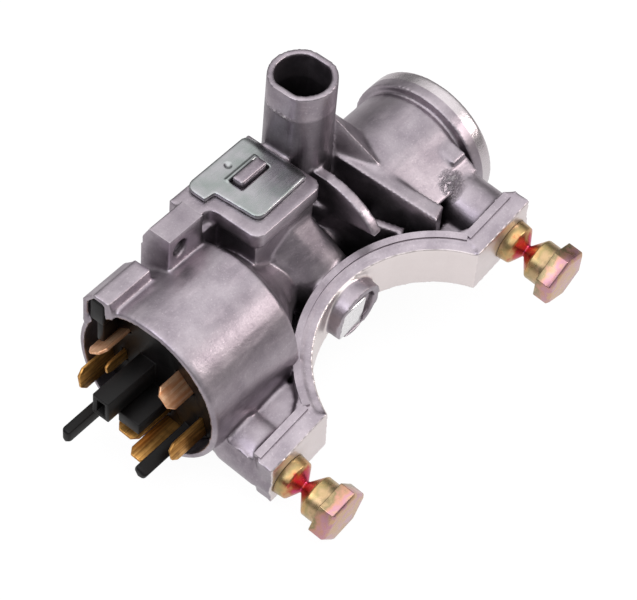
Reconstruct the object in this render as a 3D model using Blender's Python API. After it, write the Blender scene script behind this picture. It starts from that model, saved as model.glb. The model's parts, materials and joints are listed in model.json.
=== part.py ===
"""Steering lock with its ignition switch and shear bolts, as one CAD part.

Units in the constants are millimetres; objects are written in metres, +Z up.
Row frame: X runs along the ignition axis towards the lock barrel's bore, Z is parallel to the
upright tube, and the origin is where the steering column's axis crosses the top of the saddle.
The saddle that clamps the column is cast at an angle to that frame, so its pieces are made
square in a "saddle frame" and then turned by the two tilts below.
"""
import bpy
import bmesh
from math import asin, cos, pi, radians, sin
from mathutils import Matrix, Vector

# Driving dimensions (mm)
GAP = 0.3                       # running clearance between two pieces
SEAT = 0.15                     # clearance where one piece sits on another

AXIS_Y, AXIS_Z = 45.1, -1.4     # ignition axis, parallel to X
SADDLE_TILT_X = 5.3             # degrees, the saddle's lean about the ignition axis
SADDLE_TILT_Y = -10.0           # degrees, the saddle's lean about its own Y

SWITCH_END, SWITCH_SHOULDER = -49.8, -21.0
SWITCH_BORE, SWITCH_WALL = 19.0, 1.6
SWITCH_R = SWITCH_BORE + SWITCH_WALL
SWITCH_FLOOR = -23.1
NECK_R = 6.4                    # the cast neck round the driver's shaft
WEB_LO, WEB_HI, WEB_R = 10.2, 13.2, 21.0
BARREL_LO, BULKHEAD = 24.0, 2.2
BARREL_BORE, BARREL_WALL = 14.5, 2.5
BARREL_R = BARREL_BORE + BARREL_WALL
COLLAR_LO, COLLAR_HI = 48.0, 54.8
COLLAR_R = BARREL_R + 1.7

BLOCK_TOP = 24.0
BLOCK_FRONT, BLOCK_BACK = 41.2, 63.8
BLOCK_LEFT, BLOCK_RIGHT = -17.2, 6.0
SLAB_T = 4.5
PLATE_T = 1.2
TAB_LEFT, TAB_RIGHT, TAB_FRONT, TAB_BACK = -8.7, 0.2, 53.3, 56.5     # cast tab that holds the plate
TAB_GAP = 0.4                   # room round it in the plate's slot

TUBE_X, TUBE_Y, TUBE_TOP = 14.0, 55.7, 43.4
TUBE_BORE, TUBE_WALL = 6.55, 1.7
TUBE_R = TUBE_BORE + TUBE_WALL
TUBE_BORE_FLAT = 6.0            # half width across the flats
TUBE_FLAT = TUBE_BORE_FLAT + 1.6
TUBE_FLOOR = 11.0

SADDLE_R, SADDLE_WALL = 29.0, 4.8
SADDLE_OUTER = SADDLE_R + SADDLE_WALL
SADDLE_T = 16.4
FACE_Y = 10.5                   # the clamp faces' plane, saddle frame
LUG_LENGTH, LUG_WALL = 17.5, 17.0    # how far a lug reaches out, and the back of its front wall
LUG_END = SADDLE_R + LUG_LENGTH

BOLT_OUT, BOLT_Z = 11.6, -10.3  # shear bolts, saddle frame: how far outside the saddle's bore
BOLT_X = SADDLE_R + BOLT_OUT
BOLT_SHANK_R, BOLT_BODY_R, BOLT_NECK_R = 3.7, 5.3, 1.6
BOLT_AF = 13.0
BOLT_DEPTH = 14.0
BOLT_BOSS_R, BOLT_BOSS_END = 6.6, 28.0
SPOT_R, SPOT_DEPTH = 5.6, 0.3    # machined seat under each bolt, in the clamp face

LOCK_X, LOCK_W = 1.4, 8.0       # lock bolt, bolt frame: centre and width in X
LOCK_LO, LOCK_HI = -9.8, 0.3  # its underside and top in Z
LOCK_TIP = -17.9                # Y of its end when drawn back
LOCK_TRAVEL = 6.5
CARRIER_END = 15.3
SPRING_Z, SPRING_BORE = -7.4, 1.5
SPRING_SEAT = 17.0              # Y of the blind end behind the bolt's spring
GUIDE_X, GUIDE_R, GUIDE_Z = 1.0, 8.4, -8.8     # the cast guide round it, saddle frame
EYE_R, EYE_Z, EYE_END = 7.9, -9.0, 24.6

SHAFT_R, COUPLING_R = 3.0, 7.0
CAM_RING, CAM_R, CAM_HALF = 4.0, 7.0, 1.2
CAM_T = 3.0
CAM_REST = -130.0               # degrees from the bolt frame's +Y
CAM_SWEEP = 125.0               # from locked to start

BASE_LO, BASE_HI = -44.6, -39.6
ROTOR_LO, ROTOR_HI, ROTOR_R = -37.1, -27.6, 16.0
BRIDGE_T = 1.0

CATCH_X, CATCH_Y = -2.6, 56.2   # catch plunger, row frame, parallel to Z
CATCH_R, CATCH_TOP, CATCH_ROOF = 1.6, 12.0, 17.5
CATCH_DROP = 1.2

# Spade terminals: name, y, z, width, turn about X in degrees, tip x
TERMINALS = [
    ("terminal_1", 57.5, 3.5, 6.3, -36, -53.5),
    ("terminal_2", 60.2, -7.6, 6.3, 80, -55.5),
    ("terminal_3", 56.2, -4.0, 3.0, 80, -51.0),
    ("terminal_4", 45.4, -13.0, 6.3, 6, -56.5),
    ("terminal_5", 40.8, -16.4, 5.0, 6, -58.0),
    ("terminal_6", 32.6, -10.4, 5.0, 75, -55.5),
    ("terminal_7", 38.2, 1.0, 6.3, 41, -52.0),
]
TERMINAL_T = 0.8

saddle = Matrix.Rotation(radians(SADDLE_TILT_X), 4, "X") @ Matrix.Rotation(radians(SADDLE_TILT_Y), 4, "Y")
bolt_frame = Matrix.Translation((0, AXIS_Y, AXIS_Z)) @ Matrix.Rotation(radians(SADDLE_TILT_X), 4, "X")
row = Matrix.Identity(4)

for old in list(bpy.data.objects):
    bpy.data.objects.remove(old, do_unlink=True)


def material(name, rgb, metallic, roughness):
    """Plain Principled material."""
    mat = bpy.data.materials.new(name)
    mat.use_nodes = True
    shader = mat.node_tree.nodes["Principled BSDF"]
    shader.inputs["Base Color"].default_value = (*rgb, 1)
    shader.inputs["Metallic"].default_value = metallic
    shader.inputs["Roughness"].default_value = roughness
    return mat


MATERIALS = {
    "cast_zinc": material("cast_zinc", (0.42, 0.40, 0.42), 0.9, 0.45),
    "zinc_plate": material("zinc_plate", (0.50, 0.54, 0.52), 1.0, 0.3),
    "black_plastic": material("black_plastic", (0.02, 0.02, 0.022), 0.0, 0.45),
    "grey_plastic": material("grey_plastic", (0.25, 0.25, 0.26), 0.0, 0.5),
    "brass": material("brass", (0.62, 0.38, 0.18), 1.0, 0.35),
    "copper": material("copper", (0.70, 0.36, 0.22), 1.0, 0.35),
    "yellow_chromate": material("yellow_chromate", (0.62, 0.50, 0.24), 1.0, 0.3),
    "steel": material("steel", (0.55, 0.55, 0.56), 1.0, 0.3),
    "spring_steel": material("spring_steel", (0.35, 0.35, 0.36), 1.0, 0.35),
}


def finish(name, bm, frame):
    """Write a bmesh, given in mm in a frame, as an object in metres at the origin."""
    bmesh.ops.remove_doubles(bm, verts=bm.verts, dist=0.0001)
    bmesh.ops.transform(bm, matrix=Matrix.Scale(0.001, 4) @ frame, verts=bm.verts)
    bmesh.ops.recalc_face_normals(bm, faces=bm.faces)
    mesh = bpy.data.meshes.new(name)
    bm.to_mesh(mesh)
    bm.free()
    obj = bpy.data.objects.new(name, mesh)
    bpy.context.collection.objects.link(obj)
    return obj


def prism(points, lo, hi, axis="Z", frame=row, name="shape"):
    """Extrude a polygon along an axis; its points are given in the other two axes, in order."""
    place = {"X": lambda a, b, h: (h, a, b), "Y": lambda a, b, h: (a, h, b),
             "Z": lambda a, b, h: (a, b, h)}[axis]
    bm = bmesh.new()
    low = [bm.verts.new(place(a, b, lo)) for a, b in points]
    high = [bm.verts.new(place(a, b, hi)) for a, b in points]
    bm.faces.new(low)
    bm.faces.new(high[::-1])
    for i in range(len(points)):
        j = (i + 1) % len(points)
        bm.faces.new((low[i], high[i], high[j], low[j]))
    return finish(name, bm, frame)


def box(x0, x1, y0, y1, z0, z1, frame=row, name="shape"):
    return prism([(x0, y0), (x1, y0), (x1, y1), (x0, y1)], z0, z1, "Z", frame, name)


def lathe(profile, centre, axis="X", sides=48, frame=row, name="shape", start=0.0):
    """Turn a profile of (along, radius) about an axis that passes through a centre."""
    place = {"X": lambda s, u, v: (s, centre[0] + u, centre[1] + v),
             "Y": lambda s, u, v: (centre[0] + u, s, centre[1] + v),
             "Z": lambda s, u, v: (centre[0] + u, centre[1] + v, s)}[axis]
    bm = bmesh.new()
    rings = []
    for s, r in profile:
        if r == 0:
            rings.append([bm.verts.new(place(s, 0, 0))] * sides)
        else:
            angles = [start + 2 * pi * i / sides for i in range(sides)]
            rings.append([bm.verts.new(place(s, r * cos(a), r * sin(a))) for a in angles])
    for ring, after in zip(rings, rings[1:]):
        for i in range(sides):
            j = (i + 1) % sides
            corners = list(dict.fromkeys((ring[i], ring[j], after[j], after[i])))
            if len(corners) > 2:
                bm.faces.new(corners)
    return finish(name, bm, frame)


def rod(centre, r, lo, hi, axis, sides=32, frame=row, name="shape"):
    return lathe([(lo, 0), (lo, r), (hi, r), (hi, 0)], centre, axis, sides, frame, name)


def hull(points, frame=row, name="shape"):
    bm = bmesh.new()
    for p in points:
        bm.verts.new(p)
    made = bmesh.ops.convex_hull(bm, input=bm.verts)
    inner = set(made["geom_interior"] + made["geom_unused"])
    inner = [v for v in inner if isinstance(v, bmesh.types.BMVert)]
    bmesh.ops.delete(bm, geom=inner, context="VERTS")
    return finish(name, bm, frame)


def coil(centre, r, wire, lo, hi, turns, axis="Y", frame=row, name="spring", per_turn=14, sides=6):
    """Helical spring with a round wire, closed at both ends."""
    place = {"X": lambda s, u, v: Vector((s, centre[0] + u, centre[1] + v)),
             "Y": lambda s, u, v: Vector((centre[0] + u, s, centre[1] + v)),
             "Z": lambda s, u, v: Vector((centre[0] + u, centre[1] + v, s))}[axis]
    steps = int(turns * per_turn)
    bm = bmesh.new()
    rings = []
    for i in range(steps + 1):
        a = 2 * pi * i / per_turn
        s = lo + wire + (hi - lo - 2 * wire) * i / steps
        mid = place(s, r * cos(a), r * sin(a))
        out = place(s, (r + 1) * cos(a), (r + 1) * sin(a)) - mid
        along = place(s + 1, r * cos(a), r * sin(a)) - mid
        rings.append([bm.verts.new(mid + wire * (cos(b) * out + sin(b) * along))
                      for b in (2 * pi * k / sides for k in range(sides))])
    for ring, after in zip(rings, rings[1:]):
        for k in range(sides):
            bm.faces.new((ring[k], ring[(k + 1) % sides], after[(k + 1) % sides], after[k]))
    bm.faces.new(rings[0])
    bm.faces.new(rings[-1][::-1])
    return finish(name, bm, frame)


def boolean(target, operands, operation):
    """Apply exact Booleans one after another and remove the operands."""
    for other in operands:
        mod = target.modifiers.new("bool", "BOOLEAN")
        mod.solver = "EXACT"
        mod.operation = operation
        mod.object = other
        bpy.context.view_layer.update()
        graph = bpy.context.evaluated_depsgraph_get()
        mesh = bpy.data.meshes.new_from_object(target.evaluated_get(graph))
        target.modifiers.clear()
        target.data = mesh
        bpy.data.objects.remove(other, do_unlink=True)
    bm = bmesh.new()
    bm.from_mesh(target.data)
    bmesh.ops.remove_doubles(bm, verts=bm.verts, dist=0.000002)
    bmesh.ops.dissolve_degenerate(bm, edges=bm.edges, dist=0.000002)
    bmesh.ops.dissolve_limit(bm, angle_limit=radians(0.5), verts=bm.verts, edges=bm.edges)
    bmesh.ops.triangulate(bm, faces=[f for f in bm.faces if len(f.verts) > 4])
    bm.to_mesh(target.data)
    bm.free()
    return target


def join(target, *others):
    return boolean(target, others, "UNION")


def cut(target, *others):
    return boolean(target, others, "DIFFERENCE")


def coat(obj, name, slot):
    obj.name = name
    obj.data.name = name
    obj.data.materials.clear()
    obj.data.materials.append(MATERIALS[slot])
    return obj


def arc(r, a0, a1, n, cx=0.0, cy=0.0):
    return [(cx + r * cos(radians(a0 + (a1 - a0) * i / n)), cy + r * sin(radians(a0 + (a1 - a0) * i / n)))
            for i in range(n + 1)]


def flatted(r, half, n, cx, cy):
    """Circle with two flats, at half each side of its centre in the first axis."""
    return [(max(cx - half, min(cx + half, x)), y) for x, y in arc(r, 0, 360 - 360 / n, n - 1, cx, cy)]


# Housing: one casting
axis_at = (AXIS_Y, AXIS_Z)
housing = lathe([(SWITCH_END, 0), (SWITCH_END, SWITCH_R - 0.6), (SWITCH_END + 0.6, SWITCH_R),
                 (SWITCH_SHOULDER, SWITCH_R), (-17.6, 15.8), (-13.0, 12.0), (-8.0, 9.4), (-5.0, NECK_R),
                 (BARREL_LO, NECK_R), (BARREL_LO, BARREL_R), (COLLAR_LO, BARREL_R),
                 (COLLAR_LO, COLLAR_R), (COLLAR_HI - 0.5, COLLAR_R),
                 (COLLAR_HI, COLLAR_R - 0.5), (COLLAR_HI, 0)], axis_at, "X", 64)
web = prism(arc(WEB_R, 142, -90, 24, *axis_at) + [(AXIS_Y, AXIS_Z + 9.8)], WEB_LO, WEB_HI, "X")
web_rib = hull([(4.6, 51.2, 13.6), (7.0, 52.2, 13.6), (21.8, 28.2, 5.6), (19.8, 27.0, 5.6),
                (4.6, 51.0, -6.3), (7.0, 52.0, -6.3), (21.8, 28.2, -8.3), (19.8, 27.0, -8.3)])

# The block under the cover plate: a slab that overhangs a narrower body, joined to the guide by a brow
slab_plan = [(BLOCK_RIGHT, BLOCK_FRONT + 3.0), (BLOCK_RIGHT, BLOCK_BACK), (BLOCK_LEFT - 4.6, BLOCK_BACK),
             (BLOCK_LEFT - 4.6, 55.8), (BLOCK_LEFT - 2.0, 55.8), (BLOCK_LEFT - 0.6, 55.2), (BLOCK_LEFT, 53.8)]
slab_plan += arc(3.0, 180, 270, 5, BLOCK_LEFT + 3.0, BLOCK_FRONT + 3.0)
slab_plan += arc(3.0, 270, 360, 4, BLOCK_RIGHT - 3.0, BLOCK_FRONT + 3.0)[:-1]
slab = prism(slab_plan, BLOCK_TOP - SLAB_T, BLOCK_TOP)
body = box(BLOCK_LEFT + 1.3, BLOCK_RIGHT - 1.3, BLOCK_FRONT + 1.6, BLOCK_BACK - 0.7, -7.0, BLOCK_TOP - 1)
column = box(BLOCK_LEFT + 1.6, 16.0, 50.0, 64.4, -14.5, 12.0)
ear_wall = box(-33.0, BLOCK_LEFT + 2.2, 54.0, 62.4, 4.0, BLOCK_TOP - SLAB_T + 0.5)
tab = box(TAB_LEFT, TAB_RIGHT, TAB_FRONT, TAB_BACK, BLOCK_TOP - 1, BLOCK_TOP + 1.9)
brow = hull([(x, 33.0, z) for x, z in arc(GUIDE_R, 0, 180, 10, GUIDE_X, GUIDE_Z)]
            + [(8.8, 45.5, -9.0), (8.2, 45.5, 2.0), (5.0, 45.5, 11.0), (-2.0, 45.5, 13.0), (-9.0, 45.5, 11.0),
               (-13.0, 45.5, 2.0), (-13.5, 45.5, -9.0)], saddle)

tube = prism(flatted(TUBE_R, TUBE_FLAT, 40, TUBE_X, TUBE_Y), -1.0, TUBE_TOP)
gusset = hull([(TUBE_X, TUBE_Y - 4, 4), (TUBE_X, TUBE_Y + 4, 4), (TUBE_X + 6, TUBE_Y - 2.5, 30),
               (TUBE_X + 6, TUBE_Y + 2, 30), (31.5, 53, 14.3), (31.5, 50, 15.0), (26.5, 39, 14.0),
               (19.4, 50.8, 16.5), (31, 50, 6), (26.5, 41, 7)])
fin = hull([(18.6, 51.6, 18.6), (21.4, 53.2, 18.6), (30.6, 23.8, 9.2), (25.9, 22.2, 9.2),
            (18.6, 51.6, 0.3), (21.4, 53.2, 0.3), (30.6, 23.8, -9.4), (25.9, 22.2, -9.4)])
back_rib = prism([(-18.5, 27.2), (-20.5, 25.2), (-38.0, 24.0), (-38.0, 27.2)], -12.0, 0.0, "Z", saddle)
floor_plan = arc(SADDLE_R + 1.5, 42, 138, 20) + [(-37.0, 20.4), (-37.0, 38.0), (41.0, 38.0), (41.0, 20.4)]
floor = prism(floor_plan, -16.0, -13.0, "Z", saddle)

face_angle = 180 / pi * asin(FACE_Y / SADDLE_R)
saddle_plan = arc(SADDLE_R, face_angle, 180 - face_angle, 40)
saddle_plan += [(-LUG_END, FACE_Y), (-LUG_END, LUG_WALL - 2), (-LUG_END + 2, LUG_WALL),
                (2.3 - SADDLE_OUTER, LUG_WALL)]
saddle_plan += arc(SADDLE_OUTER, 146, 34, 30)
saddle_plan += [(SADDLE_OUTER - 2.3, LUG_WALL), (LUG_END - 2, LUG_WALL), (LUG_END, LUG_WALL - 2), (LUG_END, FACE_Y)]
arch = prism(saddle_plan, -SADDLE_T, 0.0, "Z", saddle)
lug_floors = [box(*sorted((side * 29.0, side * (LUG_END - 0.6))), LUG_WALL - 1, 24.5,
                  -SADDLE_T + 0.2, -7.5, saddle) for side in (-1, 1)]
step_plan = arc(SADDLE_OUTER - 2.4, 24, 156, 36) + arc(SADDLE_R - 1, 160, 20, 36)
step = prism(step_plan, -0.6, 1.0, "Z", saddle)
bosses = [rod((side * BOLT_X, BOLT_Z), BOLT_BOSS_R, FACE_Y, BOLT_BOSS_END, "Y", 32, saddle)
          for side in (-1, 1)]
bolt_holes = [lathe([(FACE_Y - 1, 0), (FACE_Y - 1, SPOT_R), (FACE_Y + SPOT_DEPTH, SPOT_R),
                     (FACE_Y + SPOT_DEPTH, BOLT_SHANK_R + GAP), (BOLT_BOSS_END + 1, BOLT_SHANK_R + GAP),
                     (BOLT_BOSS_END + 1, 0)], (side * BOLT_X, BOLT_Z), "Y", 24, saddle)
              for side in (-1, 1)]

guide_plan = arc(GUIDE_R, 0, 180, 18, GUIDE_X, GUIDE_Z)
guide_plan += [(GUIDE_X - GUIDE_R, -16.0), (GUIDE_X + GUIDE_R, -16.0)]
guide = prism(guide_plan, SADDLE_R + 1, 52.0, "Y", saddle)
eye = rod((GUIDE_X, EYE_Z), EYE_R, EYE_END, SADDLE_R + 2, "Y", 36, saddle)
ear = prism([(53.4, 5.0), (61.8, 5.0), (61.8, 23.0), (59.8, 27.0), (53.4, 27.0)], -33.2, -21.9, "X")
clip_lug = prism([(52.0, 6.0), (60.0, 4.0), (63.4, 8.0), (63.4, 16.0), (60.0, 19.6), (55.6, 19.6)],
                 SWITCH_END - 1.2, -37.0, "X")

join(housing, web, web_rib, column, body, slab, tab, ear_wall, tube, gusset, fin, back_rib, floor, arch,
     *lug_floors, *bosses, guide, brow, eye, ear, clip_lug)

barrel_floor = BARREL_LO + BULKHEAD
bores = lathe([(SWITCH_END - 3, 0), (SWITCH_END - 3, SWITCH_BORE), (SWITCH_FLOOR, SWITCH_BORE),
               (SWITCH_FLOOR, SHAFT_R + GAP), (barrel_floor, SHAFT_R + GAP), (barrel_floor, BARREL_BORE),
               (COLLAR_HI + 3, BARREL_BORE), (COLLAR_HI + 3, 0)], axis_at, "X", 64)
tube_bore = prism(flatted(TUBE_BORE, TUBE_BORE_FLAT, 36, TUBE_X, TUBE_Y), TUBE_FLOOR, TUBE_TOP + 2)
channel = box(LOCK_X - LOCK_W / 2 - GAP, LOCK_X + LOCK_W / 2 + GAP, -24.0, CARRIER_END + GAP,
              LOCK_LO - GAP, LOCK_HI + GAP, bolt_frame)
cam_room = prism([(y, min(z, CAM_RING + GAP)) for y, z in arc(CAM_R + GAP, 0, 350, 35)],
                 LOCK_X - CAM_T / 2 - GAP, LOCK_X + CAM_T / 2 + GAP, "X", bolt_frame)
spring_hole = rod((LOCK_X, SPRING_Z), SPRING_BORE, CARRIER_END - 1, SPRING_SEAT, "Y", 16, bolt_frame)
catch_hole = rod((CATCH_X, CATCH_Y), CATCH_R + GAP, -9.0, CATCH_ROOF, "Z", 20)
ear_hole = rod((-29.4, 22.2), 2.3, 52.4, 58.9, "Y", 20)
clip_pocket = prism([(56.6, 12.0), (60.5, 10.0), (62.0, 11.0), (62.0, 15.6), (60.0, 18.2), (57.2, 18.2)],
                    SWITCH_END - 3, -44.0, "X")
cut(housing, bores, step, tube_bore, channel, cam_room, spring_hole, catch_hole, ear_hole,
    clip_pocket, *bolt_holes)
coat(housing, "housing", "cast_zinc")

# Cover plate, held by the cast tab
plate_z = BLOCK_TOP + SEAT
plate_right = BLOCK_RIGHT - 0.6
plate_plan = [(plate_right - 1.2, 45.0), (plate_right, 47.8), (plate_right, 63.4), (-17.0, 63.4),
              (-17.0, 57.4), (-13.9, 57.0)]
plate_plan += arc(2.0, 180, 270, 4, -11.2, 46.6)
plate = prism(plate_plan, plate_z, plate_z + PLATE_T)
cut(plate, box(TAB_LEFT - TAB_GAP, TAB_RIGHT + TAB_GAP, TAB_FRONT - TAB_GAP, TAB_BACK + TAB_GAP,
               BLOCK_TOP - 1, BLOCK_TOP + 4))
coat(plate, "cover_plate", "zinc_plate")

# Shear bolts
for side, name in ((-1, "shear_bolt_left"), (1, "shear_bolt_right")):
    out = FACE_Y + SPOT_DEPTH - SEAT
    tip = FACE_Y + BOLT_DEPTH
    profile = [(tip, 0), (tip, BOLT_SHANK_R - 0.6), (tip - 0.8, BOLT_SHANK_R), (out, BOLT_SHANK_R),
               (out, BOLT_BODY_R), (out - 2.8, BOLT_BODY_R - 0.3), (out - 4.9, BOLT_NECK_R),
               (out - 5.3, BOLT_NECK_R),
               (out - 8.0, BOLT_BODY_R - 0.3), (out - 8.3, BOLT_BODY_R),
               (out - 12.5, BOLT_BODY_R), (out - 12.5, 0)]
    bolt = lathe(profile, (side * BOLT_X, BOLT_Z), "Y", 28, saddle)
    corner = BOLT_AF / 2 / cos(pi / 6)
    turn = radians(0 if side < 0 else 30)
    hexagon = lathe([(out - 12.3, 0), (out - 12.3, corner), (out - 16.2, corner), (out - 16.8, corner - 0.9),
                     (out - 16.8, 0)], (side * BOLT_X, BOLT_Z), "Y", 6, saddle, start=turn)
    coat(join(bolt, hexagon), name, "yellow_chromate")

# Switch: base, terminals, rotor
base = rod(axis_at, SWITCH_BORE - GAP, BASE_LO, BASE_HI, "X", 48)
blocks = [
    box(-60.5, BASE_LO + 1, 46.8, 51.6, -6.0, 0.6),                     # centre block
    box(-56.0, BASE_LO + 1, 41.6, 47.8, -10.4, -6.8),                    # second block, below it
    prism([(54.2, -12.0), (56.6, -12.0), (56.6, -15.4), (55.6, -16.6), (54.2, -15.4)],
          -65.5, BASE_LO + 1, "X"),                                      # long pin
    prism([(34.6, -14.4), (37.6, -13.0), (38.4, -14.8), (37.2, -16.8), (35.4, -16.4)],
          -61.5, BASE_LO + 1, "X"),                                      # short pin
]
join(base, *blocks)
cut(base, box(-61.5, -48.5, 48.0, 50.4, -4.8, -0.6))
slots, blades = [], []
for name, y, z, width, turn, tip in TERMINALS:
    at = Matrix.Translation((0, y, z)) @ Matrix.Rotation(radians(turn), 4, "X")
    w, t = width / 2, TERMINAL_T / 2
    slots.append(box(BASE_LO - 8, BASE_HI + 1, -w - GAP, w + GAP, -t - GAP, t + GAP, at))
    plan = [(BASE_HI + 0.4, -w), (BASE_HI + 0.4, w), (tip + 1.6, w), (tip, w * 0.55),
            (tip, -w * 0.55), (tip + 1.6, -w)]
    blades.append((name, prism(plan, -t, t, "Z", at)))
cut(base, *slots)
coat(base, "switch_base", "black_plastic")
for name, blade in blades:
    coat(blade, name, "copper" if name in ("terminal_1", "terminal_7") else "brass")

rotor = lathe([(ROTOR_LO, 0), (ROTOR_LO, ROTOR_R - 0.6), (ROTOR_LO + 0.6, ROTOR_R), (ROTOR_HI - 0.6, ROTOR_R),
               (ROTOR_HI, ROTOR_R - 0.6), (ROTOR_HI, 0)], axis_at, "X", 40)
cut(rotor, box(-33.1, ROTOR_HI + 1, AXIS_Y - 3.0, AXIS_Y + 3.0, AXIS_Z - 1.6, AXIS_Z + 1.6))
coat(rotor, "switch_rotor", "grey_plastic")
for name, side in (("contact_bridge_a", -1), ("contact_bridge_b", 1)):
    ring = arc(13.5, side * 90 - 45, side * 90 + 45, 8, *axis_at)
    ring += arc(9.5, side * 90 + 45, side * 90 - 45, 8, *axis_at)
    coat(prism(ring, ROTOR_LO - SEAT - BRIDGE_T, ROTOR_LO - SEAT, "X"), name, "copper")

# Driver: shaft with a tongue for the switch and a coupling for the lock barrel, and its cam
driver = lathe([(ROTOR_HI + 0.6, 0), (ROTOR_HI + 0.6, SHAFT_R), (barrel_floor + GAP, SHAFT_R),
                (barrel_floor + GAP, COUPLING_R), (33.5, COUPLING_R), (34.0, COUPLING_R - 0.5), (34.0, 0)],
               axis_at, "X", 32)
tongue = box(-32.8, ROTOR_HI + 1.6, AXIS_Y - 2.7, AXIS_Y + 2.7, AXIS_Z - 1.3, AXIS_Z + 1.3)
join(driver, tongue)
cut(driver, box(28.5, 35.0, AXIS_Y - 5.0, AXIS_Y + 5.0, AXIS_Z - 1.6, AXIS_Z + 1.6))
coat(driver, "driver_shaft", "steel")
cam_frame = bolt_frame @ Matrix.Rotation(radians(CAM_REST), 4, "X")
cam_plan = arc(CAM_RING, 30, 330, 20) + arc(CAM_HALF, -80, 80, 6, CAM_R - CAM_HALF, 0)
cam = prism(cam_plan, LOCK_X - CAM_T / 2, LOCK_X + CAM_T / 2, "X", cam_frame)
cut(cam, rod((0, 0), SHAFT_R + SEAT, -5, 8, "X", 24, cam_frame))
coat(cam, "lock_cam", "steel")
coat(coil(axis_at, 8.0, 0.5, ROTOR_HI + 0.6, SWITCH_FLOOR - 0.3, 2.5, "X"), "start_return_spring",
     "spring_steel")

# Lock bolt and its carrier; the cam works in the carrier's notch
lock_lo, lock_hi = LOCK_X - LOCK_W / 2, LOCK_X + LOCK_W / 2
lock = box(lock_lo, lock_hi, LOCK_TIP, -8.3, LOCK_LO, LOCK_HI, bolt_frame)
coat(lock, "lock_bolt", "steel")
notch_back, notch_front, notch_floor = CAM_R + GAP, -5.8, -CAM_R - GAP
carrier_top = -CAM_RING - 0.8
catch_y = 10.7                 # where the plunger stands over the carrier, bolt frame
carrier_plan = [(-8.0, LOCK_LO), (CARRIER_END, LOCK_LO), (CARRIER_END, carrier_top)]
carrier_plan += [(catch_y + 1.9, carrier_top), (catch_y + 1.9, carrier_top - 1.6)]
carrier_plan += [(catch_y - 1.9, carrier_top - 1.6), (catch_y - 1.9, carrier_top)]
carrier_plan += [(notch_back, carrier_top), (notch_back, notch_floor), (notch_front, notch_floor)]
carrier_plan += [(notch_front, LOCK_HI), (-8.0, LOCK_HI)]
carrier = prism(carrier_plan, lock_lo, lock_hi, "X", bolt_frame)
cut(carrier, rod((LOCK_X, SPRING_Z), SPRING_BORE, 8.6, CARRIER_END + 1, "Y", 16, bolt_frame))
coat(carrier, "bolt_carrier", "steel")
bolt_coil = coil((LOCK_X, SPRING_Z), 1.0, 0.2, 8.8, SPRING_SEAT - 0.2, 9, "Y", bolt_frame,
                 per_turn=12, sides=5)
coat(bolt_coil, "bolt_spring", "spring_steel")

# Catch that holds the bolt back while a key is in the lock
catch_tip = -4.7
plunger = lathe([(catch_tip, 0), (catch_tip, CATCH_R - 0.3), (catch_tip + 0.3, CATCH_R), (CATCH_TOP, CATCH_R),
                 (CATCH_TOP, 0)], (CATCH_X, CATCH_Y), "Z", 20)
coat(plunger, "catch_plunger", "steel")
coat(coil((CATCH_X, CATCH_Y), 1.2, 0.25, CATCH_TOP + SEAT, CATCH_ROOF - SEAT, 4, "Z", row), "catch_spring",
     "spring_steel")
coat(cut(rod((-29.4, 22.2), 2.0, 55.0, 58.7, "Y", 16), box(-32, -27, 54.4, 55.8, 21.8, 22.6)),
     "switch_grub_screw", "spring_steel")


def pivot(name, at, members):
    """Empty on a joint's axis, with the pieces that move on it as its children."""
    empty = bpy.data.objects.new(name, None)
    empty.empty_display_size = 0.01
    empty.location = at
    bpy.context.collection.objects.link(empty)
    bpy.context.view_layer.update()
    for member in members:
        child = bpy.data.objects[member]
        child.parent = empty
        child.matrix_parent_inverse = empty.matrix_world.inverted()


pivot("driver_turn_axis", Vector((0, AXIS_Y, AXIS_Z)) * 0.001,
      ["driver_shaft", "lock_cam", "switch_rotor", "contact_bridge_a", "contact_bridge_b"])
pivot("lock_bolt_slide_axis", bolt_frame @ Vector((LOCK_X, 0, (LOCK_LO + LOCK_HI) / 2)) * 0.001,
      ["lock_bolt", "bolt_carrier"])
pivot("catch_drop_axis", Vector((CATCH_X, CATCH_Y, CATCH_TOP)) * 0.001, ["catch_plunger"])
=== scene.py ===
# %% [markdown]
# # A steering lock, dressed over its CAD frame
# The real object is a pressure die casting that clamps to a car's steering column. It carries an
# ignition switch with blade terminals in an open cup, an upright tube, a bore for the lock barrel,
# and two shear bolts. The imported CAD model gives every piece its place, and this script gives
# those pieces the rounded edges, small cast features and finishes of the real ones.

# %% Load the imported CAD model
import json
from math import cos, radians, sin, sqrt

import bpy
import numpy as np
from mathutils import Matrix, Vector
from mathutils.bvhtree import BVHTree


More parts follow.
